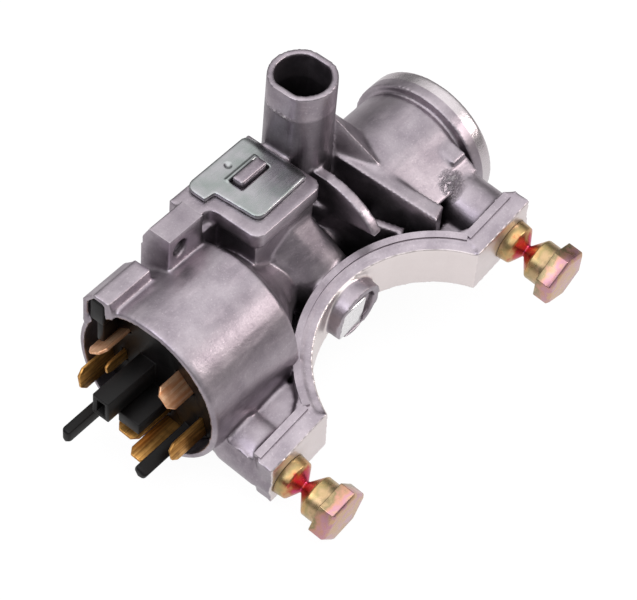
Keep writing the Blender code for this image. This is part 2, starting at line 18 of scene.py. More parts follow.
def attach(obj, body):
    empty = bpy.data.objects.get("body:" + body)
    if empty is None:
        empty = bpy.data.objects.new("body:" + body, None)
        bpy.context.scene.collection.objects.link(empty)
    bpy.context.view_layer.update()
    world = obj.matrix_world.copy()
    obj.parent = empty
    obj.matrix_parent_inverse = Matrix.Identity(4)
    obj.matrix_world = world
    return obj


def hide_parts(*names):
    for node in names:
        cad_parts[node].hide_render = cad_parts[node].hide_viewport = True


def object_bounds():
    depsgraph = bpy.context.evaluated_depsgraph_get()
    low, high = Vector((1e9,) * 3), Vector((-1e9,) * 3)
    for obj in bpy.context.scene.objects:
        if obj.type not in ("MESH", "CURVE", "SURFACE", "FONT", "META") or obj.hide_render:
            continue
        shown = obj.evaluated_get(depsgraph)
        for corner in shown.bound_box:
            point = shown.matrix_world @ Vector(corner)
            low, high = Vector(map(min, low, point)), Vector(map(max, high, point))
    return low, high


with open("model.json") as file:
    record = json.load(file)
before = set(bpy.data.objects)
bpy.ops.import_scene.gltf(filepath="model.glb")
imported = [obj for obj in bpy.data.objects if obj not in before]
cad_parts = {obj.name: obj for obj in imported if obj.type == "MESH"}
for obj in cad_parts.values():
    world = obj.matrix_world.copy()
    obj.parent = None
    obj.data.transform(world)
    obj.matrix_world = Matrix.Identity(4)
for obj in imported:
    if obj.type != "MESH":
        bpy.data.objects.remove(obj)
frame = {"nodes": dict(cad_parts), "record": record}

cad_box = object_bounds()
MM = 0.001
bpy.ops.object.select_all(action="DESELECT")
print("CAD nodes:", len(frame["nodes"]), "box:", cad_box)

# %% [markdown]
# ## Camera
# The photograph looks down on the casting from the switch's side. Its three directions and its
# place were worked out from the round rims, whose true shape is known, so they are written as
# numbers here. The frame is 637 by 600, and a long lens keeps the perspective mild.

# %% Camera at the photograph's angle
PHOTO_RIGHT = Vector((0.63334, -0.77107, 0.06578))
PHOTO_UP = Vector((0.57129, 0.52320, 0.63237))
PHOTO_BACK = Vector((-0.52202, -0.36293, 0.77187))
PHOTO_PLACE = Vector((-322.961, -189.227, 469.941)) * MM
lens = bpy.data.cameras.new("photo_camera")
camera = bpy.data.objects.new("photo_camera", lens)
bpy.context.scene.collection.objects.link(camera)
turn = Matrix((PHOTO_RIGHT, PHOTO_UP, PHOTO_BACK)).transposed().to_4x4()
camera.matrix_world = Matrix.Translation(PHOTO_PLACE) @ turn
lens.sensor_fit = "HORIZONTAL"
lens.sensor_width = 36.0
lens.lens = 148.95
bpy.context.scene.camera = camera
print("camera is", round(PHOTO_PLACE.length / MM), "mm from the origin")

# %% [markdown]
# ## Helpers for shapes
# Every new piece is shaped with Blender's own tools, so three small functions do what a hand
# does many times: select one object, copy a CAD solid as a clean mesh, and add a modifier and
# apply it. A CAD node is loose triangles, so a copy is merged, and flat areas are dissolved
# back to single faces. Bevels then follow real edges, not the lines between triangles.

# %% Shape helpers
saddle = Matrix.Rotation(radians(5.3), 4, "X") @ Matrix.Rotation(radians(-10.0), 4, "Y")
AXIS_Y, AXIS_Z = 45.1, -1.4          # ignition axis, mm, as in the CAD source
bolt_frame = Matrix.Translation((0, AXIS_Y, AXIS_Z)) @ Matrix.Rotation(radians(5.3), 4, "X")


def select_only(piece):
    bpy.ops.object.select_all(action="DESELECT")
    piece.select_set(True)
    bpy.context.view_layer.objects.active = piece


def apply_modifier(piece, kind, **settings):
    """Add a modifier with its settings and apply it."""
    select_only(piece)
    step = piece.modifiers.new(kind.lower(), kind)
    for name, value in settings.items():
        setattr(step, name, value)
    bpy.ops.object.modifier_apply(modifier=step.name)


def merged_copy(node, name):
    """A closed copy of a CAD node, with its flat areas as single faces."""
    piece = bpy.data.objects.new(name, frame["nodes"][node].data.copy())
    piece.data.name = name
    bpy.context.scene.collection.objects.link(piece)
    select_only(piece)
    bpy.ops.object.mode_set(mode="EDIT")
    bpy.ops.mesh.select_all(action="SELECT")
    bpy.ops.mesh.remove_doubles(threshold=0.00001)
    bpy.ops.mesh.dissolve_limited(angle_limit=radians(1.0))
    bpy.ops.object.mode_set(mode="OBJECT")
    return piece


def smooth(piece, angle=35):
    select_only(piece)
    bpy.ops.object.shade_smooth_by_angle(angle=radians(angle))


def place(piece, matrix):
    """Move a piece's mesh, given in millimetres in a tilted frame, to its place in metres."""
    piece.data.transform(Matrix.Scale(MM, 4) @ matrix @ piece.matrix_world)
    piece.matrix_world = Matrix.Identity(4)


# %% [markdown]
# ## Helpers for finishes
# Colours are written as the sRGB hex that a paint program shows, and one function turns them
# into the linear values that the shader wants. A second one adds a node with its settings and
# links, so that a material below reads as a list of steps.

# %% Finish helpers
def linear(text):
    """sRGB hex to a linear RGBA colour."""
    parts = [int(text[i:i + 2], 16) / 255 for i in (1, 3, 5)]
    return tuple(c / 12.92 if c <= 0.04045 else ((c + 0.055) / 1.055) ** 2.4 for c in parts) + (1.0,)


def add(finish, kind, links=None, **settings):
    """Add a node: links maps an input to an output socket, settings are properties or inputs."""
    node = finish.node_tree.nodes.new(kind)
    for name, value in settings.items():
        if hasattr(node, name):
            setattr(node, name, value)
        else:
            node.inputs[name.replace("_", " ")].default_value = value
    for name, socket in (links or {}).items():
        finish.node_tree.links.new(socket, node.inputs[name])
    return node


def new_finish(name, colour, metallic, roughness):
    """A material with its Principled shader, whose fixed values sit on the shader's own sockets."""
    finish = bpy.data.materials.new(name)
    finish.use_nodes = True
    shader = finish.node_tree.nodes["Principled BSDF"]
    shader.inputs["Base Color"].default_value = linear(colour)
    shader.inputs["Metallic"].default_value = metallic
    shader.inputs["Roughness"].default_value = roughness
    return finish, shader


def ramp(finish, source, low, high, colour_low, colour_high):
    """Blend between two colours as a value goes from low to high."""
    node = add(finish, "ShaderNodeValToRGB", {"Fac": source})
    first, last = node.color_ramp.elements
    first.position, last.position = low, high
    first.color, last.color = linear(colour_low), linear(colour_high)
    return node.outputs["Color"]


def span(finish, source, low, high, to_low, to_high):
    """Map a value from one range to another."""
    node = add(finish, "ShaderNodeMapRange", {"Value": source})
    for socket, value in zip(node.inputs[1:5], (low, high, to_low, to_high)):
        socket.default_value = value
    return node.outputs["Result"]


def mix(finish, factor, first, second, how="MIX"):
    """Mix two colours, each a socket or a hex."""
    node = add(finish, "ShaderNodeMix", data_type="RGBA", blend_type=how)
    for name, value in (("Factor", factor), (6, first), (7, second)):
        socket = node.inputs[name]
        if isinstance(value, (int, float)):
            socket.default_value = value
        elif isinstance(value, str):
            socket.default_value = linear(value)
        else:
            finish.node_tree.links.new(value, socket)
    return node.outputs[2]


def noise(finish, size_mm, detail=3.0, stretch=(1, 1, 1), roughness=0.5):
    """Noise whose blobs are about size_mm across, on the piece's own coordinates."""
    where = add(finish, "ShaderNodeTexCoord")
    scaled = add(finish, "ShaderNodeMapping", {"Vector": where.outputs["Object"]})
    scaled.inputs["Scale"].default_value = stretch
    grain = add(finish, "ShaderNodeTexNoise", {"Vector": scaled.outputs["Vector"]}, Scale=1 / (size_mm * MM),
                Detail=detail, Roughness=roughness)
    return grain.outputs["Fac"]


def link(finish, socket, target):
    finish.node_tree.links.new(socket, target)


def bump(finish, shader, layers):
    """Chain bumps: each layer is a height socket, a distance in mm and a strength."""
    normal = None
    for height, distance, strength in layers:
        node = add(finish, "ShaderNodeBump", {"Height": height}, Distance=distance * MM, Strength=strength)
        if normal:
            link(finish, normal, node.inputs["Normal"])
        normal = node.outputs["Normal"]
    link(finish, normal, shader.inputs["Normal"])


# %% [markdown]
# ## Finish: pressure die-cast alloy
# The casting is a zinc or magnesium alloy straight from the die. Its skin is satin grey with
# soft blotches some 7 mm wide, where the metal chilled at different rates, and a fine
# orange-peel of about 0.8 mm. Outer edges were rubbed bright when the parts were tumbled, so
# they read an attribute that holds how far each point stands out from its neighbours. Corners
# get painted shade, so they read a second one, which holds how much of the open space above a
# point is shut off. The collar was turned, which leaves it brighter. The saddle's bore and the
# clamp faces were machined, and are painted near white: partly their bright machined skin, partly
# a painted highlight. The tube gets painted shade below its top band, and two places were
# scraped ragged.

# %% Die-cast finish
# Each torn place: its centre, its reach and its half height, in mm.
TORN_PLACES = [((38.5, 28.0, 6.3), 4.6, 9.0), ((6.6, 57.4, 36.2), 6.5, 0.8)]
TUBE_AXIS = (14.0, 55.7, 36.0)            # a point on the tube's axis where its top band ends, mm
TUBE_SKIN = (8.7, 8.2)                    # from outside the tube's wall to inside it, mm
COLLAR_FROM = (50.9, 51.1)                # X where the turned collar begins, mm
BORE_SKIN = (28.4, 28.7, 29.2, 29.5)      # radii round the wall of the saddle's bore, mm
CLAMP_FACE = (10.9, 10.65)                # Y of the clamp faces in the saddle's frame, mm
# The corners' painted shade comes in over this span of X.
SHADE_FROM = (-24.0, -12.0)                # X over which the dark corners come in, mm


def offset_from(finish, centre_mm):
    """The way from a point on the piece to the place that is shaded."""
    where = add(finish, "ShaderNodeTexCoord")
    off = add(finish, "ShaderNodeVectorMath", {0: where.outputs["Object"]}, operation="SUBTRACT")
    off.inputs[1].default_value = Vector(centre_mm) * MM
    return off.outputs[0]


def level_distance(finish, vector):
    """The length of a vector without its Z part."""
    level = add(finish, "ShaderNodeVectorMath", {0: vector}, operation="MULTIPLY")
    level.inputs[1].default_value = (1, 1, 0)
    return add(finish, "ShaderNodeVectorMath", {0: level.outputs[0]}, operation="LENGTH").outputs["Value"]


def machined_and_painted_light_mask(finish):
    """Where a cutter cleaned the saddle, its bore and the two clamp faces, painted near white: partly
    machined skin, partly painted highlight.
    """
    where = add(finish, "ShaderNodeTexCoord")
    own = add(finish, "ShaderNodeMapping", {"Vector": where.outputs["Object"]})
    own.inputs["Rotation"].default_value = saddle.inverted().to_euler()
    radius = level_distance(finish, own.outputs[0])
    inside, wall, skin, beyond = (r * MM for r in BORE_SKIN)
    bore = add(finish, "ShaderNodeMath", {0: span(finish, radius, beyond, skin, 0.0, 0.85),
                                          1: span(finish, radius, inside, wall, 0.0, 1.0)},
               operation="MULTIPLY")
    across = add(finish, "ShaderNodeSeparateXYZ", {0: own.outputs[0]}).outputs["Y"]
    faces = span(finish, across, CLAMP_FACE[0] * MM, CLAMP_FACE[1] * MM, 0.0, 0.7)
    return add(finish, "ShaderNodeMath", {0: bore.outputs[0], 1: faces}, operation="MAXIMUM").outputs[0]


def painted_shade_mask(finish, along_x):
    """Painted shade in sheltered corners, least on the switch's side."""
    shelter = add(finish, "ShaderNodeAttribute", attribute_name="shelter").outputs["Fac"]
    left = span(finish, along_x, SHADE_FROM[0] * MM, SHADE_FROM[1] * MM, 0.15, 1.0)
    corner_shade = add(finish, "ShaderNodeMath", {0: span(finish, shelter, 0.30, 0.9, 0.0, 0.85), 1: left},
               operation="MULTIPLY")
    return corner_shade.outputs[0]


def torn_mask(finish):
    """Ragged patches within reach of the torn places."""
    torn = None
    for centre, reach, height in TORN_PLACES:
        off = offset_from(finish, centre)
        away = add(finish, "ShaderNodeVectorMath", {0: off}, operation="LENGTH").outputs["Value"]
        rise = add(finish, "ShaderNodeSeparateXYZ", {0: off}).outputs["Z"]
        rise = add(finish, "ShaderNodeMath", {0: rise}, operation="ABSOLUTE").outputs[0]
        spot = add(finish, "ShaderNodeMath",
                   {0: span(finish, away, reach * MM, 0.4 * reach * MM, 0.0, 1.0),
                    1: span(finish, rise, height * MM, 0.3 * height * MM, 0.0, 1.0)},
                   operation="MULTIPLY").outputs[0]
        torn = spot if torn is None else add(finish, "ShaderNodeMath", {0: torn, 1: spot},
                                             operation="MAXIMUM").outputs[0]
    ragged = span(finish, noise(finish, 1.1, 6.0, (0.5, 1, 1), 0.7), 0.42, 0.70, 0.0, 1.0)
    return add(finish, "ShaderNodeMath", {0: ragged, 1: torn}, operation="MULTIPLY").outputs[0]


def tube_painted_shade_mask(finish):
    """Painted shade on the tube below its top band."""
    off = offset_from(finish, TUBE_AXIS)
    side = level_distance(finish, off)
    rise = add(finish, "ShaderNodeSeparateXYZ", {0: off}).outputs["Z"]
    # the tube's painted shade, at half strength
    dull = add(finish, "ShaderNodeMath",
               {0: span(finish, side, TUBE_SKIN[0] * MM, TUBE_SKIN[1] * MM, 0.0, 0.5),
                1: span(finish, rise, 0.5 * MM, -0.3 * MM, 0.0, 1.0)}, operation="MULTIPLY")
    return dull.outputs[0]


def make_cast_alloy():
    finish, shader = new_finish("die_cast_alloy", "#9f969d", 0.95, 0.38)
    blotches = noise(finish, 7.0, 5.0)
    peel = noise(finish, 0.8, 2.0)
    specks = noise(finish, 0.5, 4.0, (1, 1, 1), 0.75)
    smears = noise(finish, 2.6, 5.0, (0.35, 1, 1), 0.6)
    colour = ramp(finish, blotches, 0.36, 0.66, "#8f868e", "#a9a0a7")
    colour = mix(finish, span(finish, smears, 0.52, 0.72, 0.0, 0.35), colour, "#c2b6be")
    colour = mix(finish, span(finish, specks, 0.44, 0.3, 0.0, 0.4), colour, "#7d747b")
    colour = mix(finish, span(finish, specks, 0.58, 0.72, 0.0, 0.45), colour, "#d8ced4")
    edge = add(finish, "ShaderNodeAttribute", attribute_name="edge").outputs["Fac"]
    colour = mix(finish, span(finish, edge, 0.08, 0.36, 0.0, 0.7), colour, "#ddd6da")
    where = add(finish, "ShaderNodeTexCoord")
    along_x = add(finish, "ShaderNodeSeparateXYZ", {0: where.outputs["Object"]}).outputs["X"]
    turned = span(finish, along_x, COLLAR_FROM[0] * MM, COLLAR_FROM[1] * MM, 0.0, 1.0)
    colour = mix(finish, turned, colour, "#cbc4c7")
    # near white on the bore and clamp faces: partly machined skin, partly painted highlight
    colour = mix(finish, machined_and_painted_light_mask(finish), colour, "#f4eae8")
    # painted shade in sheltered corners, darker where the shelter attribute is high
    colour = mix(finish, painted_shade_mask(finish, along_x), colour, "#3f3a3f")
    # painted shade on the tube below its top band
    colour = mix(finish, tube_painted_shade_mask(finish), colour, "#3f3b40")
    ragged = torn_mask(finish)
    colour = mix(finish, span(finish, ragged, 0.25, 0.8, 0.0, 0.8), colour, "#ece6e8")
    link(finish, colour, shader.inputs["Base Color"])
    rough = span(finish, smears, 0.3, 0.7, 0.32, 0.44)
    smoother = add(finish, "ShaderNodeMath", {0: rough, 1: span(finish, turned, 0.0, 1.0, 0.0, 0.12)},
                   operation="SUBTRACT")
    link(finish, smoother.outputs[0], shader.inputs["Roughness"])
    bump(finish, shader, [(blotches, 0.08, 0.2), (peel, 0.06, 0.5), (specks, 0.03, 0.5), (ragged, 0.7, 0.9)])
    return finish


cast_alloy = make_cast_alloy()

# %% [markdown]
# ## The casting
# One die casting with ribs, bosses and thin walls has a small radius on every edge and in every
# corner. Bevels on a solid with this many crossings would tangle. A voxel remesh instead turns
# the solid into an even grid of small faces, and a few rounds of smoothing melt its edges and
# corners together as a draft and a die radius do. Nearly flat areas get more rounds, so that the
# facets of the round forms go too. The grid is then thinned where it is flat.

# %% Rounded casting
VOXEL_MM = 0.36
MOST_TRIANGLES = 185000
GOLDEN_ANGLE = 2.399963              # turns that spread rays evenly, radians


def standing_out(piece):
    """How far each point stands out from its neighbours: above 0 on edges, below 0 in corners."""
    mesh = piece.data
    count = len(mesh.vertices)
    points, normals = np.empty(count * 3), np.empty(count * 3)
    mesh.vertices.foreach_get("co", points)
    mesh.vertices.foreach_get("normal", normals)
    points, normals = points.reshape(-1, 3), normals.reshape(-1, 3)
    ends = np.empty(len(mesh.edges) * 2, dtype=np.int32)
    mesh.edges.foreach_get("vertices", ends)
    a, b = ends.reshape(-1, 2).T
    way = points[a] - points[b]
    way /= np.maximum(np.linalg.norm(way, axis=1), 1e-9)[:, None]
    total, hits = np.zeros(count), np.zeros(count)
    np.add.at(total, a, (normals[a] * way).sum(1))
    np.add.at(total, b, -(normals[b] * way).sum(1))
    np.add.at(hits, a, 1)
    np.add.at(hits, b, 1)
    value = total / np.maximum(hits, 1)
    for _ in range(2):
        spread = np.zeros(count)
        np.add.at(spread, a, value[b])
        np.add.at(spread, b, value[a])
        value = 0.5 * value + 0.5 * spread / np.maximum(hits, 1)
    return value


def store(piece, name, value):
    """Keep a value for each point, for a finish to read."""
    layer = piece.data.attributes.new(name, "FLOAT", "POINT")
    layer.data.foreach_set("value", value)


def smooth_facets(piece):
    """Smooth only where the surface is nearly flat, so that a round's facets go and edges stay."""
    weight = np.clip(1.5 - np.abs(standing_out(piece)) / 0.1, 0, 1)
    group = piece.vertex_groups.new(name="flat")
    for level in range(1, 6):
        group.add(np.flatnonzero(np.round(weight * 5) == level).tolist(), level / 5, "REPLACE")
    apply_modifier(piece, "SMOOTH", factor=0.5, iterations=14, vertex_group="flat")
    piece.vertex_groups.clear()


def mark_shelter(piece, rays=20, reach_mm=16.0):
    """Store how much of the open space above each point is shut off by the piece itself, 0 to 1."""
    mesh = piece.data
    tree = BVHTree.FromPolygons([v.co for v in mesh.vertices], [p.vertices for p in mesh.polygons])
    turns = [i * GOLDEN_ANGLE for i in range(rays)]
    rises = [(i + 0.5) / rays for i in range(rays)]
    spread = [Vector((sqrt(u) * cos(a), sqrt(u) * sin(a), sqrt(1 - u))) for u, a in zip(rises, turns)]
    value = np.zeros(len(mesh.vertices))
    for i, vertex in enumerate(mesh.vertices):
        out = vertex.normal
        turn_to = out.to_track_quat("Z", "Y")
        start = vertex.co + out * 0.3 * MM
        shut = [tree.ray_cast(start, turn_to @ ray, reach_mm * MM)[0] is not None for ray in spread]
        value[i] = sum(shut) / rays
    store(piece, "shelter", value)


def block(low, high, matrix, edge_mm=0.0):
    """A cube stretched between two corners in a tilted frame."""
    bpy.ops.object.select_all(action="DESELECT")
    bpy.ops.mesh.primitive_cube_add(size=1)
    piece = bpy.context.object
    middle = (Vector(low) + Vector(high)) / 2
    piece.data.transform(Matrix.Translation(middle) @ Matrix.Diagonal((*(Vector(high) - Vector(low)), 1)))
    if edge_mm:
        apply_modifier(piece, "BEVEL", width=edge_mm, segments=3)
    place(piece, matrix)
    return piece


def rod(start, end, radius, matrix, sides=48, tip=None):
    """A cylinder, or a cone if tip is given, between two points in a tilted frame."""
    bpy.ops.object.select_all(action="DESELECT")
    way = Vector(end) - Vector(start)
    bpy.ops.mesh.primitive_cone_add(vertices=sides, radius1=radius, radius2=radius if tip is None else tip,
                                    depth=way.length)
    piece = bpy.context.object
    stand = way.to_track_quat("Z", "Y").to_matrix().to_4x4()
    piece.data.transform(Matrix.Translation((Vector(start) + Vector(end)) / 2) @ stand)
    place(piece, matrix)
    return piece


def dome(centre, radius, matrix, squash=(1, 1, 1)):
    """A ball, stretched along the frame's axes."""
    bpy.ops.object.select_all(action="DESELECT")
    bpy.ops.mesh.primitive_uv_sphere_add(segments=32, ring_count=16, radius=radius)
    piece = bpy.context.object
    piece.data.transform(Matrix.Translation(centre) @ Matrix.Diagonal((*squash, 1)))
    place(piece, matrix)
    return piece


barrel_flat = Matrix.Translation((0, 36.6, 13.3)) @ Matrix.Rotation(radians(30), 4, "X")


def cast_details():
    """Small forms that the die adds to the plain solid."""
    shapes = []
    for side in (-1, 1):         # a round boss with a domed end behind each lug
        shapes.append(rod((side * 40.4, 15.0, -9.4), (side * 40.4, 25.6, -9.4), 7.5, saddle))
        shapes.append(dome((side * 40.4, 25.6, -9.4), 7.5, saddle, (1, 0.45, 1)))
    # the flat on the barrel, and the small wedge on it
    shapes.append(block((25.0, -12.6, -7.0), (47.0, 0.3, 0.0), barrel_flat))
    ramp_up = Matrix.Translation((0, -2.6, 0)) @ Matrix.Rotation(radians(-15), 4, "X")
    shapes.append(block((41.6, -5.2, -1.6), (46.4, 0.0, 0.0), barrel_flat @ ramp_up))
    # the floor of the left lug's pocket, and the tab in the plate's slot
    shapes.append(block((-46.0, 17.5, -10.5), (-25.5, 25.0, -3.4), saddle))
    shapes.append(block((-8.7, 53.3, 24.0), (0.2, 56.5, 26.9), Matrix.Identity(4)))
    return shapes


def cut_from(piece, cutter):
    """Cut one piece's shape out of another, and take the cutter away."""
    apply_modifier(piece, "BOOLEAN", operation="DIFFERENCE", solver="EXACT", object=cutter)
    bpy.data.objects.remove(cutter, do_unlink=True)


def make_casting():
    piece = merged_copy("housing", "casting")
    # the counterbore round the guide, and the notch in the cup's rim
    cut_from(piece, rod((1.0, 20.0, -9.0), (1.0, 26.9, -9.0), 5.9, saddle))
    cut_from(piece, block((-53.0, 57.6, 5.0), (-45.5, 60.8, 12.5), Matrix.Identity(4)))
    bpy.ops.object.select_all(action="DESELECT")
    bpy.ops.mesh.primitive_torus_add(major_radius=17.3, minor_radius=0.9, major_segments=72,
                                     minor_segments=12)
    groove = bpy.context.object         # the groove before the collar
    groove.data.transform(Matrix.Translation((47.3, AXIS_Y, AXIS_Z)) @ Matrix.Rotation(radians(90), 4, "Y"))
    place(groove, Matrix.Identity(4))
    details = cast_details()
    bpy.ops.object.select_all(action="DESELECT")
    for shape in [piece] + details:
        shape.select_set(True)
    bpy.context.view_layer.objects.active = piece
    bpy.ops.object.join()
    apply_modifier(piece, "REMESH", mode="VOXEL", voxel_size=VOXEL_MM * MM, adaptivity=0.0)
    cut_from(piece, groove)
    apply_modifier(piece, "REMESH", mode="VOXEL", voxel_size=VOXEL_MM * MM, adaptivity=0.0)
    apply_modifier(piece, "SMOOTH", factor=0.5, iterations=3)
    smooth_facets(piece)
    triangles = 2 * len(piece.data.polygons)
    if triangles > MOST_TRIANGLES:
        apply_modifier(piece, "DECIMATE", ratio=MOST_TRIANGLES / triangles)
    value = standing_out(piece)
    store(piece, "edge", value)
    mark_shelter(piece, 20)
    smooth(piece, 60)
    piece.data.materials.clear()
    piece.data.materials.append(cast_alloy)
    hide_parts("housing")
    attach(piece, "casting")
    print("casting faces:", len(piece.data.polygons))
    print("edge spread:", np.percentile(value, [1, 50, 99]).round(3))


make_casting()

# %% [markdown]
# ## The raised border
# A low square border follows the arch's outer edge and runs out along both lugs. It is only
# 0.6 mm high, less than two voxels, so the remesh would leave it beaded. It is a piece of its
# own instead: a square face spun round the saddle's axis, with two strips joined on by a Boolean
# and its edges rounded, sunk into the casting below.

# %% Raised border
def make_border():
    bpy.ops.object.select_all(action="DESELECT")
    bpy.ops.mesh.primitive_plane_add(size=1)
    piece = bpy.context.object
    stand = Matrix.Rotation(radians(90), 4, "X")
    to_start = Matrix.Rotation(radians(28), 4, "Z") @ Matrix.Translation((32.75, 0, -0.2))
    piece.data.transform(to_start @ stand @ Matrix.Diagonal((1.7, 1.6, 1, 1)))
    select_only(piece)
    bpy.ops.object.mode_set(mode="EDIT")
    bpy.ops.mesh.select_all(action="SELECT")
    bpy.ops.mesh.spin(steps=72, angle=radians(-124), center=(0, 0, 0), axis=(0, 0, 1))
    bpy.ops.mesh.select_all(action="SELECT")
    bpy.ops.mesh.normals_make_consistent(inside=False)
    bpy.ops.object.mode_set(mode="OBJECT")
    place(piece, saddle)
    for near, far in ((29.2, 44.2), (-45.6, -29.2)):
        strip = block((near, 14.6, -1.0), (far, 16.5, 0.58), saddle)
        apply_modifier(piece, "BOOLEAN", operation="UNION", solver="EXACT", object=strip)
        bpy.data.objects.remove(strip, do_unlink=True)
    apply_modifier(piece, "BEVEL", width=0.3 * MM, segments=3, limit_method="ANGLE", angle_limit=radians(40))
    smooth(piece, 35)
    piece.name = piece.data.name = "raised_border"
    piece.data.materials.clear()
    piece.data.materials.append(cast_alloy)
    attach(piece, "casting")
    return piece


border = make_border()
print("border faces:", len(border.data.polygons))

# %% [markdown]
# ## Finish: zinc-plated sheet
# The plate over the lock bolt's chamber is thin rolled steel with bright zinc on it, passivated to
# a faint green-blue. It mirrors softly, and the rolling leaves fine lines about 0.3 mm apart,
# drawn here at 0.5 mm so that they show.

# %% Plated sheet finish
def make_plated_sheet():
    finish, shader = new_finish("passivated_zinc_sheet", "#949a98", 1.0, 0.26)
    clouds = noise(finish, 5.0, 3.0)
    lines = noise(finish, 0.5, 2.0, (0.06, 1, 1))
    colour = ramp(finish, clouds, 0.35, 0.65, "#939997", "#a9a8ab")
    link(finish, colour, shader.inputs["Base Color"])
    link(finish, span(finish, lines, 0.3, 0.7, 0.22, 0.32), shader.inputs["Roughness"])
    bump(finish, shader, [(lines, 0.02, 0.2), (clouds, 0.1, 0.2)])
    return finish


plated_sheet = make_plated_sheet()

# %% [markdown]
# ## Finish: yellow chromate
# The shear bolts are zinc plated and dipped in yellow chromate, a film so thin that its colour
# changes with its thickness: olive and gold where it is even, pink on the hexagon, and deep red
# in the narrow neck where the liquid stayed. The film's thickness is stored on the mesh as an
# attribute, from the distance to the neck.

# %% Chromate finish
def make_chromate():
    finish, shader = new_finish("yellow_chromate_on_zinc", "#b09a5c", 1.0, 0.3)
    clouds = noise(finish, 2.4, 3.0)
    film = add(finish, "ShaderNodeAttribute", attribute_name="film").outputs["Fac"]
    moved = add(finish, "ShaderNodeMath", {0: film, 1: span(finish, clouds, 0.3, 0.7, -0.12, 0.12)},
                operation="ADD")
    bands = add(finish, "ShaderNodeValToRGB", {"Fac": moved.outputs[0]})
    stops = [(0.0, "#c2406a"), (0.12, "#bc5a46"), (0.22, "#caa270"), (0.36, "#a8966a"), (0.50, "#c4a680"),
             (0.64, "#8e8060"), (0.76, "#c0907c"), (0.88, "#be8e9a"), (1.0, "#c9a583")]
    bands.color_ramp.elements[0].color = linear(stops[0][1])
    bands.color_ramp.elements[1].color = linear(stops[-1][1])
    for position, colour in stops[1:-1]:
        bands.color_ramp.elements.new(position).color = linear(colour)
    link(finish, bands.outputs["Color"], shader.inputs["Base Color"])
    link(finish, span(finish, clouds, 0.3, 0.7, 0.24, 0.36), shader.inputs["Roughness"])
    bump(finish, shader, [(noise(finish, 0.5, 2.0), 0.02, 0.3)])
    return finish


chromate = make_chromate()

# %% [markdown]
# ## Finishes: stamped blades
# The blades are stamped from copper and brass strip. Their faces keep the strip's drawn lines,
# which run along the blade, and both are tarnished darker in patches, the brass to brown. One
# recipe makes both, with two colours each.

# %% Blade finishes
def make_strip(name, bright, dull, dark):
    finish, shader = new_finish(name, bright, 0.8, 0.4)
    lines = noise(finish, 0.7, 3.0, (0.05, 1, 1))
    clouds = noise(finish, 3.0, 3.0)
    colour = ramp(finish, lines, 0.36, 0.62, dull, bright)
    colour = mix(finish, span(finish, clouds, 0.5, 0.72, 0.0, 0.6), colour, dark)
    link(finish, colour, shader.inputs["Base Color"])
    link(finish, span(finish, clouds, 0.3, 0.7, 0.32, 0.46), shader.inputs["Roughness"])
    bump(finish, shader, [(lines, 0.06, 0.5)])
    return finish


copper_strip = make_strip("drawn_copper_strip", "#f7c8a0", "#dd9a6c", "#b06c44")
brass_strip = make_strip("tarnished_brass_strip", "#d9a55c", "#9e6c34", "#5e3d1c")

# %% [markdown]
# ## Finishes: moulded plastics
# The switch base is black glass-filled nylon. Its skin is a touch grainy, which breaks up the
# highlights, and parting edges catch a little light. The rotor inside is the same in grey.

# %% Plastic finishes
def make_nylon(name, colour, worn):
    finish, shader = new_finish(name, colour, 0.0, 0.42)
    shader.inputs["Specular IOR Level"].default_value = 0.22
    grain = noise(finish, 0.35, 2.0)
    flow = noise(finish, 4.0, 4.0, (0.4, 1, 1))
    link(finish, ramp(finish, flow, 0.4, 0.75, colour, worn), shader.inputs["Base Color"])
    link(finish, span(finish, flow, 0.3, 0.7, 0.36, 0.5), shader.inputs["Roughness"])
    bump(finish, shader, [(grain, 0.03, 0.5)])
    return finish


black_nylon = make_nylon("black_glass_filled_nylon", "#070606", "#120e0e")
grey_nylon = make_nylon("grey_glass_filled_nylon", "#5b5b5e", "#6a6a6c")

# %% [markdown]
# ## Finishes: ground steel and spring wire
# The lock bolt, its carrier, the shaft and the cam are hardened and ground, so they carry fine
# lines across the grinding direction. Spring wire is drawn, darker and slightly oily.

# %% Steel finishes
def make_steel(name, light, dark, roughness, stretch):
    finish, shader = new_finish(name, light, 1.0, roughness)
    lines = noise(finish, 0.5, 3.0, stretch)
    link(finish, ramp(finish, lines, 0.35, 0.65, dark, light), shader.inputs["Base Color"])
    bump(finish, shader, [(lines, 0.02, 0.4)])
    return finish


ground_steel = make_steel("ground_hardened_steel", "#f2f0f1", "#dcdadc", 0.16, (1, 0.08, 1))
spring_wire = make_steel("drawn_spring_wire", "#8d8b8e", "#6e6c70", 0.35, (1, 1, 1))

# %% [markdown]
# ## Pieces with broken edges
# A stamped, turned or moulded piece never has a perfectly sharp edge: the stamping rolls one
# side over, and plastic needs a radius to leave its mould. Each of these pieces is a copy of its
# CAD solid with a bevel of a realistic width, applied once its flat areas are single faces.

# %% Dressed copies
body_of = {node: body for body, nodes in frame["record"]["behaviour"]["bodies"].items() for node in nodes}


def dress(node, finish, edge_mm, segments=2, piece=None):
    """Bevel a copy of a CAD node, give it its finish, and let it stand for the node."""
    piece = piece or merged_copy(node, node + "_dressed")
    apply_modifier(piece, "BEVEL", width=edge_mm * MM, segments=segments, limit_method="ANGLE",
                   angle_limit=radians(35))
    smooth(piece, 40)
    piece.data.materials.clear()
    piece.data.materials.append(finish)
    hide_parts(node)
    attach(piece, body_of[node])
    return piece


blades = [dress(f"terminal_{i}", copper_strip if i in (1, 7) else brass_strip, 0.18) for i in range(1, 8)]
dress("bolt_carrier", ground_steel, 0.25)
dress("driver_shaft", ground_steel, 0.3)
dress("switch_rotor", grey_nylon, 0.3)
print("dressed faces:", [len(b.data.polygons) for b in blades])

# %% [markdown]
# ## The switch's pins and latch
# Two long pins guide the plug on. A mould can only be opened if they have rounded, slightly
# drawn-in ends, so the end faces get a wide bevel of their own. A tongue of the same plastic
# comes up through a notch in the cup's rim and holds the base in the casting.

